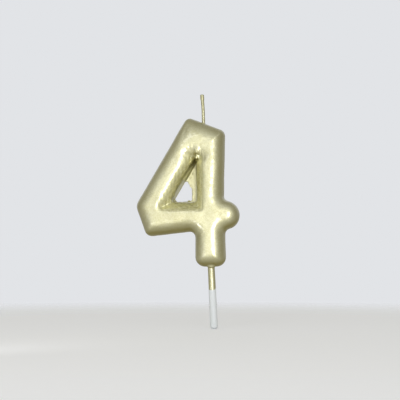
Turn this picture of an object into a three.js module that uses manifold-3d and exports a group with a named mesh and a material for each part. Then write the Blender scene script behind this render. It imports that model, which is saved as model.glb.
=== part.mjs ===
// Number candle: a moulded wax numeral four, a wick through its stem and a plastic stick in its foot.
// Millimetres, +Z up, the front faces -Y. The origin is where the stick leaves the foot of the numeral.
import * as THREE from 'three';
import { mergeVertices } from 'three/addons/utils/BufferGeometryUtils.js';
import Module from 'manifold-3d';

// Straight edges of the numeral, seen from the front. Sideways sizes are from the stem's centre line.
const STEM_WIDTH = 13;
const STICK_TO_STEM = 0.5;
const DIAGONAL_WIDTH = 12.85;
const PEAK_REACH = 9.8;
const PEAK_HEIGHT = 65.9;
const TOP_FALL_DEG = 23;
const DIAGONAL_LEAN_DEG = 30.4;
const ELBOW_HEIGHT = 26.75;
const BAR_END_LEAN_DEG = 20.4;
const BAR_BOTTOM_AT_STEM = 15.4;
const BAR_BOTTOM_TILT_DEG = 6.3;
const COUNTER_FLOOR = 27.8;
const COUNTER_REACH = 5.8;
const STEM_WAIST = 0.7;
const STEM_SPREAD_DEG = 1.5;
const FOOT_WAIST = 0.2;
const FOOT_FLARE_DEG = 1.6;

// Round end of the crossbar, to the right of the stem
const NUB_RADIUS = 6.15;
const NUB_REACH = 12.8;
const NUB_HEIGHT = 22.3;

// Corner rounds of the outline
const PEAK_RADIUS = 3.2;
const TOP_RIGHT_RADIUS = 2.8;
const ELBOW_RADIUS = 4.6;
const BAR_CORNER_RADIUS = 3.2;
const ARMPIT_RADIUS = 2.4;
const NUB_FILLET_RADIUS = 2.2;
const FOOT_RADIUS = 4.2;
const COUNTER_RADIUS = 1.1;
const COUNTER_APEX_RADIUS = 0.4;

// Section of a stroke, front to back
const CREST_INSET = 6.1;
const FRONT_RISE = 6.7;
const BACK_DEPTH = 3.8;
const BACK_ROUND = 8;
const FULLNESS = 2.2;
const STICK_TO_WIDEST = 1.2;

// Thin skin of wax left across the back of the counter, with a hole through it
const WEB_THICKNESS = 0.7;
const WEB_BITE = 1.6;
const WEB_BESIDE_STEM = 3.1;
const WEB_BESIDE_DIAGONAL = 0.3;
const WEB_ABOVE_FLOOR = 1.3;
const WEB_HOLE_SHOULDER = 33.9;
const WEB_HOLE_APEX = 37.8;
const WEB_HOLE_RADIUS = 0.5;

// Stick, and the wick that runs up from its head. Both lean towards the left at the top.
const STICK_LEAN_DEG = 2.6;
const STICK_DIAMETER = 3;
const STICK_END_DIAMETER = 3.25;
const STICK_EXPOSED = 26.2;
const STICK_BURIED = 18;
const STICK_EDGE_ROUND = 0.45;
const WICK_LEAN_DEG = 3;
const WICK_DIAMETER = 1.45;
const WICK_FREE = 12.5;
const WICK_BEND = 0.12;
const WICK_TIP_DIAMETER = 1.75;
const WICK_TIP_LENGTH = 2.2;
const SEAT_GAP = 0.3;

// Fineness of the meshes. The grid leaves air round the wax, and the wax runs on past the back to be cut off.
const CELL = 1.15;
const AIR_ROUND_WAX = 1.5 * CELL;
const WAX_PAST_BACK = CELL;
const SLOPE_STEP = 0.01;
const LEAST_SLOPE = 0.5;
const SETTLING_STEPS = 4;
const WELD = 1e-4;
const ARC_STEPS = 6;
const STICK_SIDES = 28;
const STICK_ROUND_STEPS = 2;
const WICK_SIDES = 12;
const WICK_STEPS = 24;

const HALF_STEM = STEM_WIDTH / 2;
const STEM_X = -STICK_TO_STEM;
const WIDEST_Y = STICK_TO_WIDEST;
const BACK_Y = WIDEST_Y + BACK_DEPTH;

const wasm = await Module();
wasm.setup();

// A straight edge through a point, running at an angle measured anticlockwise from +X
function edge(x, z, degrees) {
  const angle = THREE.MathUtils.degToRad(degrees);
  return { point: new THREE.Vector2(x, z), run: new THREE.Vector2(Math.cos(angle), Math.sin(angle)) };
}

// The same edge moved sideways, to the left of the way it runs
function moved(line, distance) {
  const left = new THREE.Vector2(-line.run.y, line.run.x);
  return { point: line.point.clone().addScaledVector(left, distance), run: line.run };
}

function meet(first, second) {
  const between = second.point.clone().sub(first.point);
  const along = between.cross(second.run) / first.run.cross(second.run);
  return first.point.clone().addScaledVector(first.run, along);
}

// Continues a path to a corner and round it with the given radius
function turnCorner(path, before, corner, after, radius) {
  const back = before.clone().sub(corner).normalize();
  const onward = after.clone().sub(corner).normalize();
  const halfAngle = Math.acos(back.dot(onward)) / 2;
  const inward = back.clone().add(onward).normalize();
  const centre = corner.clone().addScaledVector(inward, radius / Math.sin(halfAngle));
  const tangent = radius / Math.tan(halfAngle);
  const start = corner.clone().addScaledVector(back, tangent).sub(centre).angle();
  const end = corner.clone().addScaledVector(onward, tangent).sub(centre).angle();
  path.absarc(centre.x, centre.y, radius, start, end, back.cross(onward) > 0);
}

// A closed outline with a round at every corner
function roundedPolygon(corners, radii) {
  const path = new THREE.Path();
  corners.forEach((corner, i) => {
    const before = corners.at(i - 1);
    const after = corners[(i + 1) % corners.length];
    turnCorner(path, before, corner, after, radii[i]);
  });
  path.closePath();
  return path;
}

const stemLeft = edge(STEM_X - HALF_STEM, 0, 90);
const stemRight = edge(STEM_X + HALF_STEM - STEM_WAIST, NUB_HEIGHT, 90 - STEM_SPREAD_DEG);
const footSide = edge(STEM_X + HALF_STEM - FOOT_WAIST, NUB_HEIGHT, 90 + FOOT_FLARE_DEG);
const footLine = edge(0, 0, 0);
const topLine = edge(STEM_X - PEAK_REACH, PEAK_HEIGHT, -TOP_FALL_DEG);
const diagonal = edge(STEM_X - PEAK_REACH, PEAK_HEIGHT, 270 - DIAGONAL_LEAN_DEG);
const diagonalInner = moved(diagonal, DIAGONAL_WIDTH);
const elbow = meet(diagonal, edge(0, ELBOW_HEIGHT, 0));
const barEnd = edge(elbow.x, elbow.y, BAR_END_LEAN_DEG - 90);
const barBottom = edge(STEM_X - HALF_STEM, BAR_BOTTOM_AT_STEM, BAR_BOTTOM_TILT_DEG);
const counterFloor = edge(0, COUNTER_FLOOR, 0);
const counterSide = edge(STEM_X - COUNTER_REACH, 0, 90);

// Centre of the fillet between the nub and a side of the stem, below the nub (-1) or above it (+1)
function filletCentre(side, nub, half) {
  const track = moved(side, -NUB_FILLET_RADIUS);
  const toNub = nub.clone().sub(track.point);
  const away = track.run.cross(toNub);
  const reach = Math.sqrt((NUB_RADIUS + NUB_FILLET_RADIUS) ** 2 - away ** 2);
  return track.point.clone().addScaledVector(track.run, track.run.dot(toNub) + half * reach);
}

// The nub is an arc on the stem's right edge, with a fillet into the edge below and above it
function addNub(path) {
  const nub = new THREE.Vector2(STEM_X + NUB_REACH - NUB_RADIUS, NUB_HEIGHT);
  const below = filletCentre(footSide, nub, -1);
  const above = filletCentre(stemRight, nub, 1);
  const toBelow = below.clone().sub(nub).angle();
  const toAbove = above.clone().sub(nub).angle();
  const onFoot = footSide.run.angle() + Math.PI / 2;
  const onStem = stemRight.run.angle() + Math.PI / 2;
  path.absarc(below.x, below.y, NUB_FILLET_RADIUS, onFoot, toBelow - Math.PI, true);
  path.absarc(nub.x, nub.y, NUB_RADIUS, toBelow - 2 * Math.PI, toAbove, false);
  path.absarc(above.x, above.y, NUB_FILLET_RADIUS, toAbove + Math.PI, onStem, true);
}

function numeralOutline() {
  const footLeft = meet(stemLeft, footLine);
  const footRight = meet(footSide, footLine);
  const topRight = meet(topLine, stemRight);
  const peak = meet(topLine, diagonal);
  const barCorner = meet(barEnd, barBottom);
  const armpit = meet(barBottom, stemLeft);
  const path = new THREE.Path();
  turnCorner(path, armpit, footLeft, footRight, FOOT_RADIUS);
  turnCorner(path, footLeft, footRight, footSide.point, FOOT_RADIUS);
  addNub(path);
  turnCorner(path, stemRight.point, topRight, peak, TOP_RIGHT_RADIUS);
  turnCorner(path, topRight, peak, elbow, PEAK_RADIUS);
  turnCorner(path, peak, elbow, barCorner, ELBOW_RADIUS);
  turnCorner(path, elbow, barCorner, armpit, BAR_CORNER_RADIUS);
  turnCorner(path, barCorner, armpit, footLeft, ARMPIT_RADIUS);
  path.closePath();
  return path;
}

// The corners between the stem, the crossbar and the diagonal, with each edge moved in by its own amount:
// lower right, apex, lower left
function counterCorners(fromStem, fromDiagonal, fromFloor) {
  const right = moved(counterSide, fromStem);
  const left = moved(diagonalInner, fromDiagonal);
  const floor = moved(counterFloor, fromFloor);
  return [meet(right, floor), meet(right, left), meet(left, floor)];
}

// Distance from a point to a closed outline, positive inside it
function distanceInside(path) {
  const points = path.getPoints(ARC_STEPS);
  const sides = points.map((start, i) => ({ start, end: points[(i + 1) % points.length] }));
  return (x, z) => {
    let nearest = Infinity;
    let within = false;
    for (const { start, end } of sides) {
      const runX = end.x - start.x;
      const runZ = end.y - start.y;
      const length = runX * runX + runZ * runZ;
      if (length === 0) continue;
      const along = ((x - start.x) * runX + (z - start.y) * runZ) / length;
      const share = THREE.MathUtils.clamp(along, 0, 1);
      const gap = Math.hypot(x - start.x - share * runX, z - start.y - share * runZ);
      nearest = Math.min(nearest, gap);
      const crosses = start.y > z !== end.y > z;
      if (crosses && x < start.x + (runX * (z - start.y)) / runZ) within = !within;
    }
    return within ? nearest : -nearest;
  };
}

const outline = numeralOutline();
const insideOutline = distanceInside(outline);
const counterRounds = [COUNTER_RADIUS, COUNTER_APEX_RADIUS, COUNTER_RADIUS];
const insideCounter = distanceInside(roundedPolygon(counterCorners(0, 0, 0), counterRounds));

// How deep a point lies in the wax, zero on its surface. A stroke's section is a flattened round that
// is widest at WIDEST_Y, and it keeps its full height where strokes join and no edge is near.
function depthInWax(x, y, z) {
  const fromEdge = Math.min(insideOutline(x, z), -insideCounter(x, z));
  const across = Math.max(CREST_INSET - fromEdge, 0) / CREST_INSET;
  const reach = y < WIDEST_Y ? FRONT_RISE : BACK_ROUND;
  const outward = Math.abs(y - WIDEST_Y) / reach;
  const section = CREST_INSET * (1 - (across ** FULLNESS + outward ** FULLNESS) ** (1 / FULLNESS));
  return Math.min(section, BACK_Y + WAX_PAST_BACK - y);
}

// Moves a point onto the surface where the depth is zero, along the slope of the depth
function settle(point, depth) {
  const slope = new THREE.Vector3();
  for (let i = 0; i < SETTLING_STEPS; i++) {
    const { x, y, z } = point;
    const here = depth(x, y, z);
    slope.x = depth(x + SLOPE_STEP, y, z) - here;
    slope.y = depth(x, y + SLOPE_STEP, z) - here;
    slope.z = depth(x, y, z + SLOPE_STEP) - here;
    slope.divideScalar(SLOPE_STEP);
    const steepness = Math.max(slope.length(), LEAST_SLOPE);
    const away = THREE.MathUtils.clamp(here / steepness ** 2, -CELL / 2, CELL / 2);
    point.addScaledVector(slope, -away);
  }
}

// Mesh of the surface where a depth function is zero. The box is divided into cells, each cell that the
// surface crosses gets one point, and each cell edge that it crosses joins the four cells around it.
function surfaceMesh(depth, box) {
  const size = box.getSize(new THREE.Vector3());
  const count = size.toArray().map((length) => Math.ceil(length / CELL) + 1);
  const stride = [1, count[0], count[0] * count[1]];
  const total = count[0] * count[1] * count[2];
  const place = (node) => {
    const i = [node % count[0], Math.floor(node / count[0]) % count[1], Math.floor(node / stride[2])];
    return new THREE.Vector3(...i).multiplyScalar(CELL).add(box.min);
  };
  const value = Array.from({ length: total }, (_, node) => {
    const { x, y, z } = place(node);
    return depth(x, y, z);
  });

  // Crossing points on the twelve edges of a cell, averaged
  const cellPoint = (node) => {
    const sum = new THREE.Vector3();
    let crossings = 0;
    for (let corner = 0; corner < 8; corner++) {
      const offset = stride.map((reach, axis) => ((corner >> axis) & 1) * reach);
      const from = node + offset[0] + offset[1] + offset[2];
      for (let axis = 0; axis < 3; axis++) {
        const to = from + stride[axis];
        if ((corner >> axis) & 1 || value[from] > 0 === value[to] > 0) continue;
        sum.add(place(from).lerp(place(to), value[from] / (value[from] - value[to])));
        crossings++;
      }
    }
    return sum.divideScalar(crossings);
  };

  const positions = [];
  const pointOf = new Map();
  const pointIn = (node) => {
    if (!pointOf.has(node)) {
      const point = cellPoint(node);
      settle(point, depth);
      pointOf.set(node, positions.length / 3);
      positions.push(point.x, point.y, point.z);
    }
    return pointOf.get(node);
  };

  const triangles = [];
  for (let node = 0; node < total; node++) {
    for (let axis = 0; axis < 3; axis++) {
      const next = node + stride[axis];
      if (next >= total || value[node] > 0 === value[next] > 0) continue;
      const u = stride[(axis + 1) % 3];
      const v = stride[(axis + 2) % 3];
      const ring = [node, node - u, node - u - v, node - v].map(pointIn);
      if (value[node] <= 0) ring.reverse();
      triangles.push(ring[0], ring[1], ring[2], ring[0], ring[2], ring[3]);
    }
  }
  const geometry = new THREE.BufferGeometry();
  geometry.setAttribute('position', new THREE.Float32BufferAttribute(positions, 3));
  geometry.setIndex(triangles);
  return geometry;
}

// A closed geometry as a solid that can be joined and cut
function solidOf(geometry) {
  const bare = geometry.clone();
  bare.deleteAttribute('normal');
  bare.deleteAttribute('uv');
  const closed = mergeVertices(bare, WELD);
  const mesh = new wasm.Mesh({
    numProp: 3,
    vertProperties: new Float32Array(closed.attributes.position.array),
    triVerts: new Uint32Array(closed.index.array),
  });
  return new wasm.Manifold(mesh);
}

function geometryOf(solid) {
  const mesh = solid.getMesh();
  const geometry = new THREE.BufferGeometry();
  geometry.setAttribute('position', new THREE.BufferAttribute(mesh.vertProperties, 3));
  geometry.setIndex(new THREE.BufferAttribute(mesh.triVerts, 1));
  geometry.computeVertexNormals();
  return geometry;
}

// The stick stands in a group that leans at the origin, and the wick in one that leans again at its head
const onStick = new THREE.Group();
onStick.rotation.y = THREE.MathUtils.degToRad(-STICK_LEAN_DEG);
const onWick = new THREE.Group();
onWick.position.z = STICK_BURIED;
onWick.rotation.y = THREE.MathUtils.degToRad(STICK_LEAN_DEG - WICK_LEAN_DEG);
onStick.add(onWick);
onStick.updateMatrixWorld(true);

const stickHead = onWick.getWorldPosition(new THREE.Vector3());
const wickLine = edge(stickHead.x, stickHead.z, 90 + WICK_LEAN_DEG);
const wickExit = meet(wickLine, topLine).distanceTo(wickLine.point);
const wickTip = wickExit + WICK_FREE;

// An upright cylinder about the Z axis, between two heights
function post(radius, from, to, sides) {
  const geometry = new THREE.CylinderGeometry(radius, radius, to - from, sides);
  return geometry.rotateX(Math.PI / 2).translate(0, 0, (from + to) / 2);
}

// The hole in the web: lower right, the shoulder from which its right side leans over, apex, lower left
function holeCorners() {
  const [lowerRight, , lowerLeft] = counterCorners(WEB_BESIDE_STEM, WEB_BESIDE_DIAGONAL, WEB_ABOVE_FLOOR);
  const shoulder = meet(moved(counterSide, WEB_BESIDE_STEM), edge(0, WEB_HOLE_SHOULDER, 0));
  const apex = meet(moved(diagonalInner, WEB_BESIDE_DIAGONAL), edge(0, WEB_HOLE_APEX, 0));
  return [lowerRight, shoulder, apex, lowerLeft];
}

// The skin across the counter is flush with the back once the back is cut
function webSolid() {
  const shape = new THREE.Shape(counterCorners(-WEB_BITE, -WEB_BITE, -WEB_BITE));
  const hole = holeCorners();
  shape.holes.push(roundedPolygon(hole, hole.map(() => WEB_HOLE_RADIUS)));
  const pastBack = WAX_PAST_BACK / 2;
  const depth = WEB_THICKNESS + pastBack;
  const geometry = new THREE.ExtrudeGeometry(shape, { depth, bevelEnabled: false, curveSegments: ARC_STEPS });
  geometry.rotateX(Math.PI / 2).translate(0, BACK_Y + pastBack, 0);
  return solidOf(geometry);
}

function waxGeometry() {
  const reach = new THREE.Box2().setFromPoints(outline.getPoints(ARC_STEPS)).expandByScalar(AIR_ROUND_WAX);
  const low = new THREE.Vector3(reach.min.x, WIDEST_Y - FRONT_RISE - AIR_ROUND_WAX, reach.min.y);
  const high = new THREE.Vector3(reach.max.x, BACK_Y + WAX_PAST_BACK + AIR_ROUND_WAX, reach.max.y);
  const loaf = solidOf(surfaceMesh(depthInWax, new THREE.Box3(low, high)));

  const behind = new THREE.BoxGeometry(high.x - low.x, high.y - BACK_Y, high.z - low.z);
  behind.translate((low.x + high.x) / 2, (high.y + BACK_Y) / 2, (low.z + high.z) / 2);
  const socket = post(STICK_DIAMETER / 2 + SEAT_GAP, -STEM_WIDTH, STICK_BURIED + SEAT_GAP, STICK_SIDES);
  const channel = post(WICK_DIAMETER / 2 + SEAT_GAP, 0, wickTip, WICK_SIDES);
  const body = loaf
    .add(webSolid())
    .subtract(solidOf(behind))
    .subtract(solidOf(socket.applyMatrix4(onStick.matrixWorld)))
    .subtract(solidOf(channel.applyMatrix4(onWick.matrixWorld)));
  return geometryOf(body);
}

// Upright plastic rod, straight in the wax and a little wider towards its free end, with rounded end edges
function stickGeometry() {
  const headInner = STICK_DIAMETER / 2 - STICK_EDGE_ROUND;
  const endInner = STICK_END_DIAMETER / 2 - STICK_EDGE_ROUND;
  const profile = new THREE.Path();
  profile.moveTo(0, -STICK_EXPOSED);
  profile.lineTo(endInner, -STICK_EXPOSED);
  profile.absarc(endInner, STICK_EDGE_ROUND - STICK_EXPOSED, STICK_EDGE_ROUND, -Math.PI / 2, 0, false);
  profile.lineTo(STICK_DIAMETER / 2, 0);
  profile.absarc(headInner, STICK_BURIED - STICK_EDGE_ROUND, STICK_EDGE_ROUND, 0, Math.PI / 2, false);
  profile.lineTo(0, STICK_BURIED);
  return new THREE.LatheGeometry(profile.getPoints(STICK_ROUND_STEPS), STICK_SIDES).rotateX(Math.PI / 2);
}

// Straight inside the wax, and bent a little to one side where it stands free
class WickLine extends THREE.Curve {
  getPoint(share, target = new THREE.Vector3()) {
    const z = THREE.MathUtils.lerp(SEAT_GAP, wickTip, share);
    const free = Math.max(z - wickExit, 0) / WICK_FREE;
    return target.set((WICK_BEND * (1 - Math.cos(2 * Math.PI * free))) / 2, 0, z);
  }
}

function wickGeometry() {
  const section = new THREE.Shape().absarc(0, 0, WICK_DIAMETER / 2, 0, 2 * Math.PI, false);
  const cord = new THREE.ExtrudeGeometry(section, {
    extrudePath: new WickLine(),
    steps: WICK_STEPS,
    curveSegments: WICK_SIDES,
    bevelEnabled: false,
  });
  const bead = new THREE.SphereGeometry(WICK_TIP_DIAMETER / 2, WICK_SIDES, WICK_SIDES / 2);
  bead.rotateX(Math.PI / 2).scale(1, 1, WICK_TIP_LENGTH / WICK_TIP_DIAMETER);
  bead.translate(0, 0, wickTip - WICK_TIP_LENGTH / 2);
  return geometryOf(solidOf(cord).add(solidOf(bead)));
}

function piece(name, geometry, color, roughness, metalness) {
  const material = new THREE.MeshStandardMaterial({ color, roughness, metalness });
  const mesh = new THREE.Mesh(geometry, material);
  mesh.name = name;
  return mesh;
}

const candle = new THREE.Group();
candle.add(piece('wax_numeral', waxGeometry(), 0xd9d6a9, 0.38, 0.8));
onStick.add(piece('stick', stickGeometry(), 0xe4e9ec, 0.4, 0));
onWick.add(piece('wick', wickGeometry(), 0xc2c1a4, 0.6, 0.3));
candle.add(onStick);

export default candle;
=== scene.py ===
"""Gold number candle: the looks of a cast wax numeral four, its wick and its stick.

The candle's fixed frame gives the place and the size of each piece. The numeral is modelled again here on the
same outline, with the finer forms of a casting. The shapes are worked out in millimetres and made in metres.
"""
import math

import bpy
import numpy as np
from bpy.props import FloatProperty, FloatVectorProperty, IntProperty, PointerProperty
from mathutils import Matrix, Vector


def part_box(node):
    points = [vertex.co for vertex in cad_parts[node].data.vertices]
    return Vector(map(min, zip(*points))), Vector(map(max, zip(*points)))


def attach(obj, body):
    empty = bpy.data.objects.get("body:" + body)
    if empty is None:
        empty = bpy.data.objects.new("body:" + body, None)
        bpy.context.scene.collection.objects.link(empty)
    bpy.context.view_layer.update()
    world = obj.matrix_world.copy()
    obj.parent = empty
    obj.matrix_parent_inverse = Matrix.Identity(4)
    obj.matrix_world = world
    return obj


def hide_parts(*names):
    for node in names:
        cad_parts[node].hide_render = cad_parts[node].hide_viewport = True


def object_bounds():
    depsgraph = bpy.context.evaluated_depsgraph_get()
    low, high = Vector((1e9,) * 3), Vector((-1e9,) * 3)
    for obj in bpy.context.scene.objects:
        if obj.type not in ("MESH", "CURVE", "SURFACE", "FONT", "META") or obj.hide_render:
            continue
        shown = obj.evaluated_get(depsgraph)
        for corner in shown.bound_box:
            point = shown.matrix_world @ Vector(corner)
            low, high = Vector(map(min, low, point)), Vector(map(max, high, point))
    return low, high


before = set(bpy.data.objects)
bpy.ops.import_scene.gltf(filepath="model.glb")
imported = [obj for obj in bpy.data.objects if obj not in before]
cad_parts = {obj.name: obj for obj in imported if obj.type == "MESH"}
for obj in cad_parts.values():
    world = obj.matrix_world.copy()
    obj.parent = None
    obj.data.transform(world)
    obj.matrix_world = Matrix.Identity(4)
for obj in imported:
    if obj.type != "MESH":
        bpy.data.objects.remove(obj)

CAD_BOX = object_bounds()

bl_info = {
    "name": "Number Candle",
    "version": (1, 0, 0),
    "blender": (4, 5, 0),
    "location": "3D View > Sidebar > Candle",
    "description": "Builds a gold number candle round its fixed frame, with a plain studio",
    "category": "Object",
}

MM = 0.001

# The wax mesh's attributes: painted reflected light on the counter's bevelled walls, where the counter's
# lower walls are spared the painted slope shade, and the polish
PAINTED_BOUNCE_LIGHT = "painted_bounce_light"
SLOPE_SHADE_SPARED = "run"
POLISH = "polish"

# Way to the light that the lacquer's painted shade is worked out from: slopes that turn away from it, sides
# and undersides, are painted darker. It is straight ahead and a little above.
PAINTED_LIGHT_FROM = (0, -0.85, 0.53)

# Straight edges of the numeral, seen from the front. Sideways sizes are from the stem's centre line.
STEM_WIDTH = 13
STICK_TO_STEM = 0.5
DIAGONAL_WIDTH = 12.85
PEAK_REACH = 9.8
PEAK_HEIGHT = 65.9
TOP_FALL_DEG = 23
DIAGONAL_LEAN_DEG = 30.4
ELBOW_HEIGHT = 26.75
BAR_END_LEAN_DEG = 20.4
BAR_BOTTOM_AT_STEM = 15.4
BAR_BOTTOM_TILT_DEG = 6.3
COUNTER_FLOOR = 27.8
COUNTER_REACH = 5.8
STEM_WAIST = 0.7
STEM_SPREAD_DEG = 1.5
FOOT_WAIST = 0.2
FOOT_FLARE_DEG = 1.6
NUB_RADIUS = 6.15
NUB_REACH = 12.8
NUB_HEIGHT = 22.3

# Rounds of the outline
PEAK_RADIUS = 3.2
TOP_RIGHT_RADIUS = 2.8
ELBOW_RADIUS = 4.6
BAR_CORNER_RADIUS = 3.2
ARMPIT_RADIUS = 2.4
NUB_FILLET_RADIUS = 2.2
FOOT_RADIUS = 4.2
COUNTER_RADII = (1.1, 0.4, 1.1)

# Section of a stroke, front to back
CREST_INSET = 6.1
FRONT_RISE = 6.7
BACK_ROUND = 8
FULLNESS = 2.2
WIDEST_Y = 1.2
BACK_Y = 5.0

# How far the rim of the counter's bevelled walls stands out from its stem, diagonal and floor side
BEVEL_REACH = (2.8, 2.9, 3.5)
BEVEL_RADII = (1.0, 3.3, 1.5)

# Skin of wax across the back of the counter
WEB_THICKNESS = 0.7
WEB_BITE = 1.6
WEB_INSETS = (3.1, 0.3, 1.3)
WEB_HOLE_SHOULDER = 33.9
WEB_HOLE_APEX = 37.8
WEB_HOLE_RADIUS = 0.5

STEM_X = -STICK_TO_STEM
HALF_STEM = STEM_WIDTH / 2


class Edge:
    """A straight edge through a point, running at an angle measured anticlockwise from +X."""

    def __init__(self, point, degrees):
        angle = math.radians(degrees)
        self.point = Vector(point)
        self.run = Vector((math.cos(angle), math.sin(angle)))

    def moved(self, distance):
        """The same edge moved sideways, to the left of the way it runs."""
        twin = Edge(self.point + distance * self.run.orthogonal(), 0)
        twin.run = self.run
        return twin

    def to_left(self, x, z):
        """How far points lie to the left of the edge."""
        return (z - self.point.y) * self.run.x - (x - self.point.x) * self.run.y


def cross(first, second):
    return first.x * second.y - first.y * second.x


def meet(first, second):
    along = cross(second.point - first.point, second.run) / cross(first.run, second.run)
    return first.point + along * first.run


def heading(direction):
    return math.atan2(direction.y, direction.x)


class Outline:
    """A closed outline made of arcs, with a straight line from each arc to the next."""

    def __init__(self):
        self.arcs = []

    def arc(self, centre, radius, start, end, clockwise):
        sweep = (start - end) % math.tau if clockwise else (end - start) % math.tau
        self.arcs.append((centre, radius, start, -sweep if clockwise else sweep))

    def corner(self, before, corner, after, radius):
        """Turns a corner of the outline with a round."""
        back = (before - corner).normalized()
        onward = (after - corner).normalized()
        half = math.acos(back.dot(onward)) / 2
        centre = corner + (back + onward).normalized() * (radius / math.sin(half))
        tangent = radius / math.tan(half)
        start = heading(corner + back * tangent - centre)
        end = heading(corner + onward * tangent - centre)
        self.arc(centre, radius, start, end, cross(back, onward) > 0)

    def ends(self):
        """First and last point of each arc."""
        for centre, radius, start, sweep in self.arcs:
            first = centre + radius * Vector((math.cos(start), math.sin(start)))
            last = centre + radius * Vector((math.cos(start + sweep), math.sin(start + sweep)))
            yield first, last

    def points(self, steps=48):
        for centre, radius, start, sweep in self.arcs:
            for step in range(steps + 1):
                angle = start + sweep * step / steps
                yield centre.x + radius * math.cos(angle), centre.y + radius * math.sin(angle)

    def within(self, x, z):
        """True where a point is inside the outline."""
        points = list(self.points())
        inside = np.zeros(np.broadcast(x, z).shape, bool)
        for (ax, az), (bx, bz) in zip(points, points[1:] + points[:1]):
            if az != bz:
                inside ^= ((az > z) != (bz > z)) & (x < ax + (bx - ax) * (z - az) / (bz - az))
        return inside

    def depth(self, x, z):
        """Distance to the outline, positive inside it."""
        nearest = np.full(np.broadcast(x, z).shape, np.inf)
        for centre, radius, start, sweep in self.arcs:
            turn = (np.arctan2(z - centre.y, x - centre.x) - start) * math.copysign(1, sweep)
            gap = np.abs(np.hypot(x - centre.x, z - centre.y) - radius)
            nearest = np.where(np.mod(turn, math.tau) <= abs(sweep), np.minimum(nearest, gap), nearest)
        ends = list(self.ends())
        for (_, start), (end, _) in zip(ends, ends[1:] + ends[:1]):
            run = end - start
            along = ((x - start.x) * run.x + (z - start.y) * run.y) / max(run.length_squared, 1e-9)
            along = np.clip(along, 0, 1)
            gap = np.hypot(x - start.x - along * run.x, z - start.y - along * run.y)
            nearest = np.minimum(nearest, gap)
        return np.where(self.within(x, z), nearest, -nearest)


def rounded_polygon(corners, radii):
    outline = Outline()
    for i, (corner, radius) in enumerate(zip(corners, radii)):
        outline.corner(corners[i - 1], corner, corners[(i + 1) % len(corners)], radius)
    return outline


STEM_LEFT = Edge((STEM_X - HALF_STEM, 0), 90)
STEM_RIGHT = Edge((STEM_X + HALF_STEM - STEM_WAIST, NUB_HEIGHT), 90 - STEM_SPREAD_DEG)
FOOT_SIDE = Edge((STEM_X + HALF_STEM - FOOT_WAIST, NUB_HEIGHT), 90 + FOOT_FLARE_DEG)
FOOT_LINE = Edge((0, 0), 0)
TOP_LINE = Edge((STEM_X - PEAK_REACH, PEAK_HEIGHT), -TOP_FALL_DEG)
DIAGONAL = Edge((STEM_X - PEAK_REACH, PEAK_HEIGHT), 270 - DIAGONAL_LEAN_DEG)
DIAGONAL_INNER = DIAGONAL.moved(DIAGONAL_WIDTH)
ELBOW = meet(DIAGONAL, Edge((0, ELBOW_HEIGHT), 0))
BAR_END = Edge(ELBOW, BAR_END_LEAN_DEG - 90)
BAR_BOTTOM = Edge((STEM_X - HALF_STEM, BAR_BOTTOM_AT_STEM), BAR_BOTTOM_TILT_DEG)
COUNTER_BASE = Edge((0, COUNTER_FLOOR), 0)
COUNTER_SIDE = Edge((STEM_X - COUNTER_REACH, 0), 90)


def fillet_centre(side, nub, half):
    """Centre of the fillet between the nub and a side of the stem, below the nub (-1) or above it (+1)."""
    track = side.moved(-NUB_FILLET_RADIUS)
    to_nub = nub - track.point
    reach = math.sqrt((NUB_RADIUS + NUB_FILLET_RADIUS) ** 2 - cross(track.run, to_nub) ** 2)
    return track.point + (track.run.dot(to_nub) + half * reach) * track.run


def add_nub(outline):
    """The nub is an arc on the stem's right edge, with a fillet into the edge below and above it."""
    nub = Vector((STEM_X + NUB_REACH - NUB_RADIUS, NUB_HEIGHT))
    below = fillet_centre(FOOT_SIDE, nub, -1)
    above = fillet_centre(STEM_RIGHT, nub, 1)
    to_below = heading(below - nub)
    to_above = heading(above - nub)
    quarter = math.pi / 2
    outline.arc(below, NUB_FILLET_RADIUS, heading(FOOT_SIDE.run) + quarter, to_below - math.pi, True)
    outline.arc(nub, NUB_RADIUS, to_below, to_above, False)
    outline.arc(above, NUB_FILLET_RADIUS, to_above + math.pi, heading(STEM_RIGHT.run) + quarter, True)


def numeral_outline():
    foot_left = meet(STEM_LEFT, FOOT_LINE)
    foot_right = meet(FOOT_SIDE, FOOT_LINE)
    top_right = meet(TOP_LINE, STEM_RIGHT)
    peak = meet(TOP_LINE, DIAGONAL)
    bar_corner = meet(BAR_END, BAR_BOTTOM)
    armpit = meet(BAR_BOTTOM, STEM_LEFT)
    outline = Outline()
    outline.corner(armpit, foot_left, foot_right, FOOT_RADIUS)
    outline.corner(foot_left, foot_right, FOOT_SIDE.point, FOOT_RADIUS)
    add_nub(outline)
    outline.corner(STEM_RIGHT.point, top_right, peak, TOP_RIGHT_RADIUS)
    outline.corner(top_right, peak, ELBOW, PEAK_RADIUS)
    outline.corner(peak, ELBOW, bar_corner, ELBOW_RADIUS)
    outline.corner(ELBOW, bar_corner, armpit, BAR_CORNER_RADIUS)
    outline.corner(bar_corner, armpit, foot_left, ARMPIT_RADIUS)
    return outline


def counter_corners(from_stem, from_diagonal, from_floor):
    """Lower right, apex and lower left corner of the counter, with each edge moved in by its own amount."""
    right = COUNTER_SIDE.moved(from_stem)
    left = DIAGONAL_INNER.moved(from_diagonal)
    floor = COUNTER_BASE.moved(from_floor)
    return [meet(right, floor), meet(right, left), meet(left, floor)]


def hole_corners():
    """The hole in the web: lower right, the shoulder where its right side leans over, apex, lower left."""
    from_stem, from_diagonal, _ = WEB_INSETS
    lower_right, _, lower_left = counter_corners(*WEB_INSETS)
    shoulder = meet(COUNTER_SIDE.moved(from_stem), Edge((0, WEB_HOLE_SHOULDER), 0))
    apex = meet(DIAGONAL_INNER.moved(from_diagonal), Edge((0, WEB_HOLE_APEX), 0))
    return [lower_right, shoulder, apex, lower_left]


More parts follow.
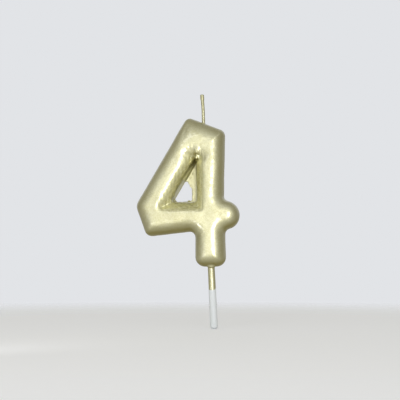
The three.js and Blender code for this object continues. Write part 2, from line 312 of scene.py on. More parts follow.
NUMERAL = numeral_outline()
COUNTER = rounded_polygon(counter_corners(0, 0, 0), COUNTER_RADII)
BEVEL_RIM = rounded_polygon(counter_corners(*(-reach for reach in BEVEL_REACH)), BEVEL_RADII)
WEB_REACH = rounded_polygon(counter_corners(-WEB_BITE, -WEB_BITE, -WEB_BITE), (WEB_BITE,) * 3)
WEB_HOLE = rounded_polygon(hole_corners(), (WEB_HOLE_RADIUS,) * 4)


class Chart:
    """The depth in an outline as a softened map, which rounds off the creases where edges meet."""

    STEP = 0.15
    MARGIN = 3

    def __init__(self, outline, softness):
        points = np.array(list(NUMERAL.points()))
        self.low = points.min(0) - self.MARGIN
        count = np.ceil((points.max(0) + self.MARGIN - self.low) / self.STEP).astype(int)
        x, z = (low + self.STEP * np.arange(n) for low, n in zip(self.low, count))
        self.value = outline.depth(x[:, None], z[None])
        for _ in range(round(2 * (softness / self.STEP) ** 2)):
            for axis in (0, 1):
                spread = np.pad(self.value, [(1, 1) if i == axis else (0, 0) for i in (0, 1)], "edge")
                before, middle, after = (np.take(spread, range(i, count[axis] + i), axis) for i in range(3))
                self.value = (before + 2 * middle + after) / 4

    def __call__(self, x, z):
        """Depth at places between the map's points."""
        u, w = ((v - low) / self.STEP for v, low in zip((x, z), self.low))
        i, k = (np.clip(np.floor(v), 0, n - 2).astype(int) for v, n in zip((u, w), self.value.shape))
        u, w = u - i, w - k
        left = self.value[i, k] * (1 - w) + self.value[i, k + 1] * w
        right = self.value[i + 1, k] * (1 - w) + self.value[i + 1, k + 1] * w
        return left * (1 - u) + right * u


IN_NUMERAL = Chart(NUMERAL, 0.5)
IN_COUNTER = Chart(COUNTER, 0.2)
IN_RIM = Chart(BEVEL_RIM, 0.1)
IN_WEB = Chart(WEB_REACH, 0)
IN_HOLE = Chart(WEB_HOLE, 0.15)


# Unevenness is a sum of crossing waves, whose lengths vary round the one asked for
WAVE_COUNT = 7
WAVE_LENGTHS = (0.7, 1.5)


def ripple(x, y, z, length, seed):
    """Smooth unevenness between about -1 and 1, from a few crossing waves of about one length."""
    draw = np.random.default_rng(seed)
    total = 0
    for _ in range(WAVE_COUNT):
        direction = draw.normal(size=3)
        direction *= math.tau / (length * draw.uniform(*WAVE_LENGTHS) * np.linalg.norm(direction))
        phase = draw.uniform(0, math.tau)
        total = total + np.sin(x * direction[0] + y * direction[1] + z * direction[2] + phase)
    return total * 2 / WAVE_COUNT


def ramp(value, start, end):
    """How far a value has come from a start to an end, between 0 and 1."""
    return np.clip((value - start) / (end - start), 0, 1)


def part_way(start, end, share):
    return start + (end - start) * share


def join(first, second, blend):
    """The deeper of two depths, with a fillet of about the blend's size between the two bodies."""
    overlap = np.maximum(blend - np.abs(first - second), 0) / blend
    return np.maximum(first, second) + overlap * overlap * blend / 4


def cut(body, tool, blend):
    """A body's depth with a tool's taken out of it and the edge of the cut rounded."""
    return -join(-body, tool, blend)


def shared(first, second, blend):
    """Depth in the space that two bodies share, with the edge between them rounded."""
    return -join(-first, -second, blend)


# Finer forms of the wax. A pair of places is where a form starts and where it is full.
# The walls of the counter are bevelled at the front, with a wide blend at its apex.
BEVEL_DEG = 42
BEVEL_RIM_Y = -5.1
BEVEL_BLEND = 0.8
APEX_BLEND = 3.0
APEX_HEIGHTS = (44, 48)
COUNTER_TIGHTER = 0.15
INNER_FULLNESS = 3

# The diagonal's crest lies further from the counter than the others: fully on its own side of the counter,
# and no longer at 1 mm past that side
DIAGONAL_INNER_INSET = 8
OFF_DIAGONAL = (1, 0)

# The nub is fuller than the strokes: places out from the stem's centre line, and up or down from its own
NUB_FULLNESS = 2.6
NUB_OUT = (4, 7)
NUB_UP_OR_DOWN = (8, 5)

# The slope along the top edge is wider than the others, and widest at the peak
TOP_SLOPE_STRETCH = 1.3
PEAK_SLOPE_STRETCH = 1.8
PEAK_SLOPE_X = (-4.8, -10.8)
PEAK_BLEND = 3.5
CREASE_BLEND = 0.05

# Waves on the wax: length in millimetres and seed. The cast surface has the slow waves and the short ones,
# lowered so that they stay inside the candle's fixed box.
SLOW_WAVES = (9, 1)
SHORT_WAVES = (2.2, 2)
SHORT_WAVE_SHARE = 0.3
LOWEST_WAVE = 2
BEVEL_WAVES = (1.5, 5)
BEVEL_WAVE_HEIGHT = 0.1
WEB_FRONT_WAVES = (0.8, 3)
WEB_ROUGHNESS = 0.03
WEB_HOLE_WAVES = (1.4, 4)
WEB_RAGGEDNESS = 0.08

# Rounds where the wax's back, skin and cuts meet
BACK_EDGE_ROUND = 1.2
WEB_FILLET = 1.0
WEB_EDGE_ROUND = 0.45

# Stick, and the wick that runs up from its head. Both lean to the left at the top.
STICK_LEAN_DEG = 2.6
STICK_DIAMETER = 3
STICK_END_DIAMETER = 3.25
STICK_EXPOSED = 26.2
STICK_BURIED = 18
STICK_END_ROUND = 1.2
STICK_HEAD_ROUND = 0.45
WICK_LEAN_DEG = 3
WICK_DIAMETER = 1.45
WICK_FREE = 12.5
WICK_BEND = 0.12
WICK_TIP_DIAMETER = 1.75
WICK_TIP_LENGTH = 2.2
SEAT_GAP = 0.3
CAST_GAP = 0.04

# Drops of wax, as centre and radii: two in the counter's apex, one low on its left wall, one at each lower
# corner of the skin's hole, and one where the stick leaves the foot. Each blends in over a share of its size.
DROPS = (
    ((-5.5, -4.0, 49.9), (0.9, 1.0, 1.2)),
    ((-5.85, -3.6, 46.9), (0.6, 0.6, 0.65)),
    ((-16.0, -1.0, 31.0), (0.45, 0.6, 0.4)),
    ((-16.4, 4.2, 29.1), (0.5, 0.4, 0.35)),
    ((-10.2, 4.2, 28.9), (0.5, 0.4, 0.35)),
    ((0.1, -1.3, 0.05), (1.3, 1.0, 0.7)),
)
DROP_BLEND = 1.6


def leaning(degrees):
    """A line's own sideways, depth and upward directions, once it leans to the left by an angle."""
    angle = math.radians(degrees)
    return np.array([
        [math.cos(angle), 0, math.sin(angle)],
        [0, 1, 0],
        [-math.sin(angle), 0, math.cos(angle)],
    ])


ON_STICK = leaning(STICK_LEAN_DEG)
ON_WICK = leaning(WICK_LEAN_DEG)
STICK_HEAD = STICK_BURIED * ON_STICK[2]
WICK_LINE = Edge((STICK_HEAD[0], STICK_HEAD[2]), 90 + WICK_LEAN_DEG)
WICK_EXIT = (meet(WICK_LINE, TOP_LINE) - WICK_LINE.point).length
WICK_TIP = WICK_EXIT + WICK_FREE


def off_line(x, y, z, start, directions):
    """Height along a leaning line and distance from it."""
    dx, dy, dz = x - start[0], y - start[1], z - start[2]
    side, _, up = directions
    height = dx * up[0] + dy * up[1] + dz * up[2]
    sideways = dx * side[0] + dy * side[1] + dz * side[2]
    return height, np.hypot(sideways, dy)


def drop_depth(x, y, z, centre, radii):
    """Depth in an egg-shaped drop."""
    spread = np.sqrt(sum(((v - c) / r) ** 2 for v, c, r in zip((x, y, z), centre, radii)))
    return (1 - spread) * min(radii)


def outer_depth(x, z):
    """Distance in from the numeral's outline, with the slope along the top edge made wider."""
    near_peak = ramp(x, *PEAK_SLOPE_X)
    from_edge = IN_NUMERAL(x, z)
    from_top = -TOP_LINE.to_left(x, z) / part_way(TOP_SLOPE_STRETCH, PEAK_SLOPE_STRETCH, near_peak)
    return shared(from_edge, from_top, CREASE_BLEND + near_peak * np.clip(from_edge, 0, PEAK_BLEND))


def bevel_depth(x, y, z):
    """Depth behind the bevelled walls of the counter."""
    tilt = math.radians(BEVEL_DEG)
    bevel = (y - BEVEL_RIM_Y) * math.cos(tilt) - IN_RIM(x, z) * math.sin(tilt)
    return bevel + BEVEL_WAVE_HEIGHT * ripple(x, y, z, *BEVEL_WAVES)


def stroke_depth(x, y, z, waviness):
    """Depth in the strokes: rounded at the front, and flattening towards the back."""
    outward = np.abs(y - WIDEST_Y) / np.where(y < WIDEST_Y, FRONT_RISE, BACK_ROUND)

    def rounded(from_edge, inset, fullness):
        across = np.maximum(inset - from_edge, 0) / inset
        return inset * (1 - (across ** fullness + outward ** fullness) ** (1 / fullness))

    on_nub = ramp(x - STEM_X, *NUB_OUT) * ramp(np.abs(z - NUB_HEIGHT), *NUB_UP_OR_DOWN)
    outer = rounded(outer_depth(x, z), CREST_INSET, part_way(FULLNESS, NUB_FULLNESS, on_nub))
    from_counter = COUNTER_TIGHTER - IN_COUNTER(x, z)
    on_diagonal = ramp(from_counter + DIAGONAL_INNER.to_left(x, z), *OFF_DIAGONAL)
    inner = rounded(from_counter, part_way(CREST_INSET, DIAGONAL_INNER_INSET, on_diagonal), INNER_FULLNESS)
    blend = part_way(BEVEL_BLEND, APEX_BLEND, ramp(z, *APEX_HEIGHTS))
    uneven = ripple(x, y, z, *SLOW_WAVES) + SHORT_WAVE_SHARE * ripple(x, y, z, *SHORT_WAVES)
    strokes = shared(np.minimum(outer, inner), bevel_depth(x, y, z), blend)
    return strokes + waviness * (uneven - LOWEST_WAVE)


def web_depth(x, y, z):
    """Depth in the skin across the back of the counter, rough in front and ragged round its hole."""
    rough_front = BACK_Y - WEB_THICKNESS + WEB_ROUGHNESS * ripple(x, y, z, *WEB_FRONT_WAVES)
    plate = np.minimum(y - rough_front, IN_WEB(x, z))
    hole = IN_HOLE(x, z) + WEB_RAGGEDNESS * ripple(x, 0 * y, z, *WEB_HOLE_WAVES)
    return cut(plate, hole, WEB_EDGE_ROUND)


def wax_depth(x, y, z, waviness):
    """Depth in the whole casting: strokes, skin and drops, less the wick's channel and the stick's socket."""
    body = join(stroke_depth(x, y, z, waviness), web_depth(x, y, z), WEB_FILLET)
    for centre, radii in DROPS:
        body = join(body, drop_depth(x, y, z, centre, radii), DROP_BLEND * min(radii))
    body = shared(body, BACK_Y - y, BACK_EDGE_ROUND)
    height, away = off_line(x, y, z, STICK_HEAD, ON_WICK)
    channel = WICK_DIAMETER / 2 + CAST_GAP - away
    body = cut(body, np.minimum(channel, height + SEAT_GAP), CAST_GAP)
    height, away = off_line(x, y, z, (0, 0, 0), ON_STICK)
    socket = STICK_DIAMETER / 2 + CAST_GAP - away
    return cut(body, np.minimum(socket, STICK_BURIED + CAST_GAP - height), CAST_GAP)


# Where the lacquer on the wax differs, with painted reflected light in the counter: each pair of places is
# where that starts and where it is full
NEAR_COUNTER = (-1.2, -0.2)
BOUNCE_LIGHT_RIM = (-1.5, 1 / 6)
BOUNCE_LIGHT_Y = (3.6, 2.6)
# Heights below which the counter's walls keep full gold, spared the painted slope shade
SLOPE_SHADE_SPARED_HEIGHTS = (47, 42)
DULL_Y = (3.5, 4.0)
DULL_SHARE = 0.85


def lacquer_masks(x, y, z):
    """The wax mesh's attributes, by name, at points."""
    in_counter = ramp(IN_COUNTER(x, z), *NEAR_COUNTER)
    return {
        # Painted reflected light: the counter's bevelled walls near the front are painted a brighter gold
        PAINTED_BOUNCE_LIGHT: ramp(IN_RIM(x, z), *BOUNCE_LIGHT_RIM) * ramp(y, *BOUNCE_LIGHT_Y),
        # The counter's walls below its apex keep full gold instead of the painted slope shade
        SLOPE_SHADE_SPARED: in_counter * ramp(z, *SLOPE_SHADE_SPARED_HEIGHTS),
        POLISH: 1 - DULL_SHARE * in_counter * ramp(y, *DULL_Y),
    }


# Meshing of the wax: the margin round its box in cells, the rounds of relaxing and settling, and the step
# that a slope is felt with
AIR_CELLS = 3
RELAX_ROUNDS = 3
RELAX_SHARE = 0.5
SETTLE_ROUNDS = 2
SLOPE_STEP = 0.01
LEAST_SLOPE = 0.3


def settle(points, depth, reach, rounds):
    """Moves points onto the surface where the depth is zero, along the slope of the depth."""
    for _ in range(rounds):
        here = depth(*points.T)
        ahead = [depth(*(points + SLOPE_STEP * axis).T) for axis in np.eye(3)]
        slope = np.stack([there - here for there in ahead], 1) / SLOPE_STEP
        steepness = np.maximum(np.linalg.norm(slope, axis=1), LEAST_SLOPE)
        away = np.clip(here / steepness ** 2, -reach, reach)
        points = points - slope * away[:, None]
    return points


def surface(depth, low, high, cell):
    """Points and four-sided faces of the surface where a depth is zero.

    The box is divided into cells. Each cell that the surface crosses gets one point, and each cell edge that
    it crosses joins the four cells around that edge.
    """
    axes = [np.arange(start, end + cell, cell) for start, end in zip(low, high)]
    value = depth(*np.meshgrid(*axes, indexing="ij", sparse=True))
    inside = value > 0
    total = np.zeros(value.shape + (3,))
    crossings = np.zeros(value.shape)
    edges = []
    for axis in range(3):
        ahead = np.eye(3, dtype=int)[axis]
        u, v = np.eye(3, dtype=int)[[(axis + 1) % 3, (axis + 2) % 3]]
        start = np.argwhere(np.diff(inside, axis=axis))
        near = value[tuple(start.T)]
        far = value[tuple((start + ahead).T)]
        place = np.stack([axes[i][start[:, i]] for i in range(3)], 1)
        place = place + np.outer(near / (near - far), ahead) * cell
        ring = [start, start - u, start - u - v, start - v]
        for corner in ring:
            np.add.at(total, tuple(corner.T), place)
            np.add.at(crossings, tuple(corner.T), 1)
        edges.append((ring, near > 0))
    used = crossings > 0
    number = np.full(value.shape, -1)
    number[used] = np.arange(used.sum())
    faces = []
    for ring, outward in edges:
        face = np.stack([number[tuple(corner.T)] for corner in ring], 1)
        faces.append(np.where(outward[:, None], face, face[:, ::-1]))
    return total[used] / crossings[used][:, None], np.concatenate(faces)


def relax(points, faces, share):
    """Moves each point part of the way to the middle of its neighbours."""
    ends = np.concatenate([faces[:, [i, (i + 1) % 4]] for i in range(4)])
    total = np.zeros_like(points)
    count = np.zeros(len(points))
    for near, far in ((0, 1), (1, 0)):
        np.add.at(total, ends[:, near], points[ends[:, far]])
        np.add.at(count, ends[:, near], 1)
    return points + share * (total / count[:, None] - points)


def smooth_mesh(name, points, faces):
    """A new smooth-shaded object in the scene, from points in millimetres."""
    mesh = bpy.data.meshes.new(name)
    mesh.from_pydata((np.asarray(points) * MM).tolist(), [], [list(face) for face in faces])
    mesh.shade_smooth()
    piece = bpy.data.objects.new(name, mesh)
    bpy.context.scene.collection.objects.link(piece)
    return piece


def swept(name, centres, directions, radii):
    """A closed smooth object round a line: one row of radii for each centre, and a fan on each end."""
    rows, sides = radii.shape
    turn = np.linspace(0, math.tau, sides, endpoint=False)
    around = np.outer(np.cos(turn), directions[0]) + np.outer(np.sin(turn), directions[1])
    rings = centres[:, None] + radii[:, :, None] * around
    points = np.concatenate([rings.reshape(-1, 3), centres[:1], centres[-1:]])
    bottom, top = rows * sides, rows * sides + 1
    last = (rows - 1) * sides
    faces = []
    for side in range(sides):
        onward = (side + 1) % sides
        faces.append((onward, side, bottom))
        faces.append((last + side, last + onward, top))
        for row in range(0, last, sides):
            faces.append((row + side, row + onward, row + sides + onward, row + sides + side))
    return smooth_mesh(name, points, faces)


def plug(tree, value, socket):
    """Links another node's output to a socket, or sets the socket to a number or a colour."""
    if isinstance(value, bpy.types.NodeSocket):
        tree.links.new(value, socket)
    else:
        socket.default_value = value


def node(tree, kind, *values, **settings):
    """A new node. Values go to its first sockets in turn, and settings to sockets or properties by name."""
    made = tree.nodes.new(kind)
    for name, value in settings.items():
        socket = name.replace("_", " ").title()
        if socket in made.inputs:
            plug(tree, value, made.inputs[socket])
        else:
            setattr(made, name, value)
    for value, socket in zip(values, made.inputs):
        plug(tree, value, socket)
    return made


def worked_out(tree, operation, *values):
    """The result of one sum on numbers."""
    return node(tree, "ShaderNodeMath", *values, operation=operation).outputs[0]


def mapped(tree, value, **ranges):
    """A number taken from one range to another. A range that isn't given is 0 to 1."""
    return node(tree, "ShaderNodeMapRange", value, **ranges).outputs["Result"]


def noise(tree, place, **settings):
    """Cloudy noise between 0 and 1."""
    return node(tree, "ShaderNodeTexNoise", place, **settings).outputs["Fac"]


# Where a Mix node keeps its colours
MIX_COLORS = (6, 7)
MIX_RESULT = 2


def mixed(tree, share, *colors):
    """A colour between two, by a share from 0 to 1."""
    made = node(tree, "ShaderNodeMix", share, data_type="RGBA")
    for color, place in zip(colors, MIX_COLORS):
        plug(tree, color, made.inputs[place])
    return made.outputs[MIX_RESULT]


def opaque(color, brightness=1):
    return (*[brightness * channel for channel in color], 1)


def object_place(tree):
    return tree.nodes.new("ShaderNodeTexCoord").outputs["Object"]


# Sockets of the lacquer's node group, whose usual values each material replaces with its own
LACQUER_INPUTS = (
    ("Gold", "NodeSocketColor", (0.6, 0.58, 0.33, 1)),
    # Colour of the painted shade on slopes and undersides turned from the front
    ("Thin", "NodeSocketColor", (0.5, 0.46, 0.2, 1)),
    ("Shade", "NodeSocketColor", (0.3, 0.28, 0.14, 1)),
    ("Grain Size", "NodeSocketFloat", 0.5),
    ("Cloud Size", "NodeSocketFloat", 7),
    ("Grain", "NodeSocketFloat", 0.2),
    ("Dullness", "NodeSocketFloat", 0.5),
    ("Clear Coat", "NodeSocketFloat", 1),
)
LACQUER_OUTPUTS = (
    ("Color", "NodeSocketColor"),
    ("Roughness", "NodeSocketFloat"),
    ("Gloss", "NodeSocketFloat"),
    ("Height", "NodeSocketFloat"),
)

# How far a surface must face the front and a little above for a full colour, with painted shade below that,
# and for a full gloss
FULL_COLOR_FACING = 0.8
FULL_GLOSS_FACING = 0.6
LEAST_GLOSS = 0.15

# Bumps of the clouds in the lacquer, against those of its grain
CLOUD_BUMP_SHARE = 1.5


def lacquer_group():
    """Metallic lacquer with painted shade: darker on steep slopes and undersides turned from the front, with
    cloudy patches and grain.
    """
    name = "Sprayed lacquer"
    if name in bpy.data.node_groups:
        return bpy.data.node_groups[name]
    group = bpy.data.node_groups.new(name, "ShaderNodeTree")
    for socket, kind, value in LACQUER_INPUTS:
        made = group.interface.new_socket(socket, in_out="INPUT", socket_type=kind)
        made.default_value = value
    for socket, kind in LACQUER_OUTPUTS:
        group.interface.new_socket(socket, in_out="OUTPUT", socket_type=kind)
    given = group.nodes.new("NodeGroupInput")
    result = group.nodes.new("NodeGroupOutput")
    in_mm = node(group, "ShaderNodeVectorMath", object_place(group), operation="SCALE", scale=1 / MM)

    def speckle(size, detail):
        """Noise with a given size in millimetres."""
        scale = worked_out(group, "DIVIDE", 1, given.outputs[size])
        return noise(group, in_mm.outputs["Vector"], scale=scale, detail=detail, roughness=0.6)

    grain = speckle("Grain Size", 2.0)
    cloud = speckle("Cloud Size", 3.0)
    spots = mapped(group, grain, from_min=0.35, from_max=0.65)
    specks = worked_out(group, "MULTIPLY", spots, given.outputs["Grain"])
    patches = mapped(group, cloud, from_min=0.35, from_max=0.75, to_max=0.3)

    # Painted shade: the colour goes to the dark painted-shade colour as the surface turns from the front and
    # above
    normal = group.nodes.new("ShaderNodeNewGeometry").outputs["Normal"]
    facing = node(group, "ShaderNodeVectorMath", normal, PAINTED_LIGHT_FROM, operation="DOT_PRODUCT")
    backward = node(group, "ShaderNodeSeparateXYZ", normal)
    turned_to_light = worked_out(group, "MAXIMUM", facing.outputs["Value"], backward.outputs["Y"])
    unshaded_share = mapped(group, turned_to_light, from_max=FULL_COLOR_FACING)
    gloss = mapped(group, turned_to_light, from_max=FULL_GLOSS_FACING, to_min=LEAST_GLOSS)

    coat = mixed(group, unshaded_share, given.outputs["Thin"], given.outputs["Gold"])
    pigment = worked_out(group, "ADD", specks, patches)
    uneven = mapped(group, grain, from_min=0.3, from_max=0.7, to_min=-0.04, to_max=0.06)
    for socket, value in (
        ("Color", mixed(group, pigment, coat, given.outputs["Shade"])),
        ("Roughness", worked_out(group, "ADD", given.outputs["Dullness"], uneven)),
        ("Gloss", worked_out(group, "MULTIPLY", gloss, given.outputs["Clear Coat"])),
        ("Height", worked_out(group, "MULTIPLY_ADD", cloud, CLOUD_BUMP_SHARE, grain)),
    ):
        group.links.new(value, result.inputs[socket])
    return group


def new_material(name):
    """A material with only a surface shader and an output, and its node tree."""
    material = bpy.data.materials.new(name)
    material.use_nodes = True
    tree = material.node_tree
    tree.nodes.clear()
    output = tree.nodes.new("ShaderNodeOutputMaterial")
    shader = tree.nodes.new("ShaderNodeBsdfPrincipled")
    tree.links.new(shader.outputs[0], output.inputs["Surface"])
    return material, tree, shader


def finish_surface(tree, shader, looks):
    """Gives a surface shader its looks, each the name of a socket and a value or another node's output."""
    for name, value in looks.items():
        plug(tree, value, shader.inputs[name])


def lacquer_outputs(tree, look, grain_size, grain, **painted):
    """The lacquer group placed in a material. A colour that is painted takes the place of the look's own."""
    made = tree.nodes.new("ShaderNodeGroup")
    made.node_tree = lacquer_group()
    for name, value in (
        ("Gold", painted.get("gold", opaque(look.gold))),
        ("Thin", painted.get("thin", opaque(look.thin))),
        ("Shade", opaque(look.shade)),
        ("Grain Size", grain_size),
        ("Grain", grain),
        ("Dullness", look.dullness),
        ("Clear Coat", look.clear_coat),
    ):
        plug(tree, value, made.inputs[name])
    return made.outputs


def bumps(tree, height, distance, strength):
    """The normals of bumps with a given height in millimetres."""
    made = node(tree, "ShaderNodeBump", height=height, distance=distance * MM, strength=strength)
    return made.outputs["Normal"]


def gold_wax_material(look):
    """Gold lacquer, with painted reflected light on the counter's bevelled walls, and full gold on the
    counter's lower walls, where the painted slope shade is left out.
    """
    material, tree, shader = new_material("Gold lacquered wax")

    def mask(name):
        return node(tree, "ShaderNodeAttribute", attribute_name=name).outputs["Fac"]

    lacquer = lacquer_outputs(
        tree,
        look,
        grain_size=0.55,
        grain=0.28,
        # Painted reflected light on the counter's bevelled walls, and the painted slope shade left out of the
        # counter's lower walls
        gold=mixed(tree, mask(PAINTED_BOUNCE_LIGHT), opaque(look.gold), opaque(look.painted_bounce_light)),
        thin=mixed(tree, mask(SLOPE_SHADE_SPARED), opaque(look.thin), opaque(look.gold)),
    )
    finish_surface(tree, shader, {
        "Base Color": lacquer["Color"],
        "Roughness": lacquer["Roughness"],
        "Metallic": 1,
        "Coat Weight": worked_out(tree, "MULTIPLY", mask(POLISH), lacquer["Gloss"]),
        "Coat Roughness": 0.19,
        "Coat IOR": 1.75,
        "Normal": bumps(tree, lacquer["Height"], distance=0.05, strength=0.5),
    })
    return material


def gold_wick_material(look):
    """Gold lacquer on waxed cotton, with a strong fine grain."""
    material, tree, shader = new_material("Gold lacquered wick")
    lacquer = lacquer_outputs(tree, look, grain_size=0.3, grain=0.4)
    finish_surface(tree, shader, {
        "Base Color": lacquer["Color"],
        "Roughness": lacquer["Roughness"],
        "Metallic": 0.85,
        "Coat Weight": lacquer["Gloss"],
        "Coat Roughness": 0.2,
        "Normal": bumps(tree, lacquer["Height"], distance=0.05, strength=0.6),
    })
    return material


# The border of the lacquer on the stick, in millimetres: its waves, how often they come, and its half width
BORDER_WAVE = 1.4
BORDER_WAVES_PER_MM = 0.9
BORDER_SOFTNESS = 0.12

# The plastic's cloudiness and dullness
CLOUDS_PER_MM = 0.25
CLOUD_BRIGHTNESS = 0.93
PLASTIC_ROUGHNESS = 0.6


def stick_material(look, plastic, border):
    """White plastic, with the gold lacquer down to a wavy border at a height in millimetres."""
    material, tree, shader = new_material("White plastic stick, gold at the top")
    lacquer = lacquer_outputs(tree, look, grain_size=0.4, grain=0.3)
    place = object_place(tree)
    height = node(tree, "ShaderNodeSeparateXYZ", place).outputs["Z"]
    waves = noise(tree, place, scale=BORDER_WAVES_PER_MM / MM, detail=2.0)
    wavy_height = worked_out(tree, "MULTIPLY_ADD", waves, 2 * BORDER_WAVE * MM, height)
    low, high = ((border + BORDER_WAVE + side * BORDER_SOFTNESS) * MM for side in (-1, 1))
    gilded = mapped(tree, wavy_height, from_min=low, from_max=high)
    clouds = noise(tree, place, scale=CLOUDS_PER_MM / MM, detail=3.0)
    white = mixed(tree, clouds, opaque(plastic, CLOUD_BRIGHTNESS), opaque(plastic))
    finish_surface(tree, shader, {
        "Base Color": mixed(tree, gilded, white, lacquer["Color"]),
        "Roughness": mapped(tree, gilded, to_min=PLASTIC_ROUGHNESS, to_max=lacquer["Roughness"]),
        "Metallic": gilded,
        "Coat Weight": gilded,
        "Coat Roughness": 0.16,
        "Normal": bumps(tree, lacquer["Height"], distance=0.04, strength=0.5),
    })
    return material


class LacquerSettings(bpy.types.PropertyGroup):
    # The lacquer's own colour, where no painted shade lies
    gold: FloatVectorProperty(
        name="Gold", description="Colour of the lacquer where it lies thick",
        subtype="COLOR", default=(0.62, 0.6, 0.395), min=0, max=1,
    )
    # Painted reflected light: the brighter gold painted on the counter's bevelled walls
    painted_bounce_light: FloatVectorProperty(
        name="Painted Bounce Light", description="Colour of the lacquer where it has pooled in the counter",
        subtype="COLOR", default=(0.95, 0.93, 0.57), min=0, max=1,
    )
    # Painted shade: the dark colour of slopes and undersides turned from the front
    thin: FloatVectorProperty(
        name="Thin", description="Colour of the lacquer on slopes that face away from the spray",
        subtype="COLOR", default=(0.25, 0.21, 0.06), min=0, max=1,
    )
    shade: FloatVectorProperty(
        name="Shade", description="Colour of the lacquer between its pigment",
        subtype="COLOR", default=(0.37, 0.335, 0.12), min=0, max=1,
    )
    dullness: FloatProperty(
        name="Dullness", description="Roughness of the metallic pigment",
        subtype="FACTOR", default=0.5, min=0, max=1,
    )
    clear_coat: FloatProperty(
        name="Clear coat", description="Strength of the clear gloss over the pigment",
        subtype="FACTOR", default=1, min=0, max=1,
    )


class WaxSettings(bpy.types.PropertyGroup):
    fineness: FloatProperty(
        name="Fineness", description="Size of the wax mesh's faces",
        unit="LENGTH", precision=5, default=0.32 * MM, min=0.1 * MM,
    )
    waviness: FloatProperty(
        name="Waviness", description="Height of the slow unevenness of the cast wax",
        unit="LENGTH", precision=5, default=0.05 * MM, min=0,
    )


class WickSettings(bpy.types.PropertyGroup):
    plait_pitch: FloatProperty(
        name="Plait pitch", description="Length of one crossing of the plait along the wick",
        unit="LENGTH", precision=5, default=1.1 * MM, min=0.2 * MM,
    )
    plait_height: FloatProperty(
        name="Plait height", description="Height of the plait's strands",
        unit="LENGTH", precision=5, default=0.05 * MM, min=0,
    )
    sides: IntProperty(
        name="Sides", description="Number of faces round the wick",
        default=28, min=8,
    )


class StickSettings(bpy.types.PropertyGroup):
    plastic: FloatVectorProperty(
        name="Plastic", description="Colour of the stick's plastic",
        subtype="COLOR", default=(0.76, 0.79, 0.8), min=0, max=1,
    )
    gold_length: FloatProperty(
        name="Gold length", description="Length of the stick below the wax that the lacquer covers",
        unit="LENGTH", precision=5, default=9.4 * MM, min=0,
    )
    sides: IntProperty(
        name="Sides", description="Number of faces round the stick",
        default=48, min=8,
    )


class StudioSettings(bpy.types.PropertyGroup):
    floor: FloatVectorProperty(
        name="Floor", description="Colour of the floor",
        subtype="COLOR", default=(0.78, 0.785, 0.8), min=0, max=1,
    )
    floor_glow: FloatProperty(
        name="Floor glow", description="How much paler the floor looks than it lights",
        subtype="FACTOR", default=0.3, min=0, max=1,
    )
    backdrop: FloatVectorProperty(
        name="Backdrop", description="Colour of the surroundings in front of the candle and behind it",
        subtype="COLOR", default=(0.76, 0.775, 0.8), min=0, max=1,
    )
    sides: FloatVectorProperty(
        name="Sides", description="Colour of the surroundings to the sides, above and below",
        subtype="COLOR", default=(0.4, 0.385, 0.32), min=0, max=1,
    )
    key_power: FloatProperty(
        name="Key power", description="Power of the soft lamp beside the camera",
        unit="POWER", default=1.6, min=0,
    )
    fill_power: FloatProperty(
        name="Fill power", description="Power of the soft lamp low on the left",
        unit="POWER", default=0.0055, min=0,
    )
    sky_power: FloatProperty(
        name="Sky power", description="Power of the soft lamp high on the left",
        unit="POWER", default=0.045, min=0,
    )
    lens: FloatProperty(
        name="Lens", description="Focal length of the camera",
        unit="CAMERA", default=67.05, min=1,
    )


class CANDLE_OT_cast_numeral(bpy.types.Operator):
    """Cast the wax numeral round its wick and its stick"""

    bl_idname = "candle.cast_numeral"
    bl_label = "Cast Wax Numeral"

    def execute(self, context):
        settings = context.scene.candle_wax
        cell = settings.fineness / MM
        waviness = settings.waviness / MM

        def depth(x, y, z):
            return wax_depth(x, y, z, waviness)

        low, high = (np.array(corner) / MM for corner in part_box("wax_numeral"))
        air = AIR_CELLS * cell
        points, faces = surface(depth, low - air, high + air, cell)
        for _ in range(RELAX_ROUNDS):
            points = settle(relax(points, faces, RELAX_SHARE), depth, cell / 2, SETTLE_ROUNDS)
        piece = smooth_mesh("wax_numeral_cast", points, faces)
        for name, value in lacquer_masks(*points.T).items():
            piece.data.attributes.new(name, "FLOAT", "POINT").data.foreach_set("value", value)
        piece.data.materials.append(gold_wax_material(context.scene.candle_lacquer))
        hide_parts("wax_numeral")
        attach(piece, "root")
        return {"FINISHED"}


# Rows of points up the wick: far apart in the wax, and close from just below its surface on
BURIED_STEP = 2.5
PLAIT_HIDDEN = 1
PLAIT_ROWS = 130

# Turn of the plait's second strand behind its first, in radians
STRAND_LAG = 1

# The wick's tip: a bead that swells gently, closed by a round
BEAD_SPREAD = 0.55
TIP_ROUND = 0.3
TIP_ROWS = 7
TIP_NARROWING = 0.45


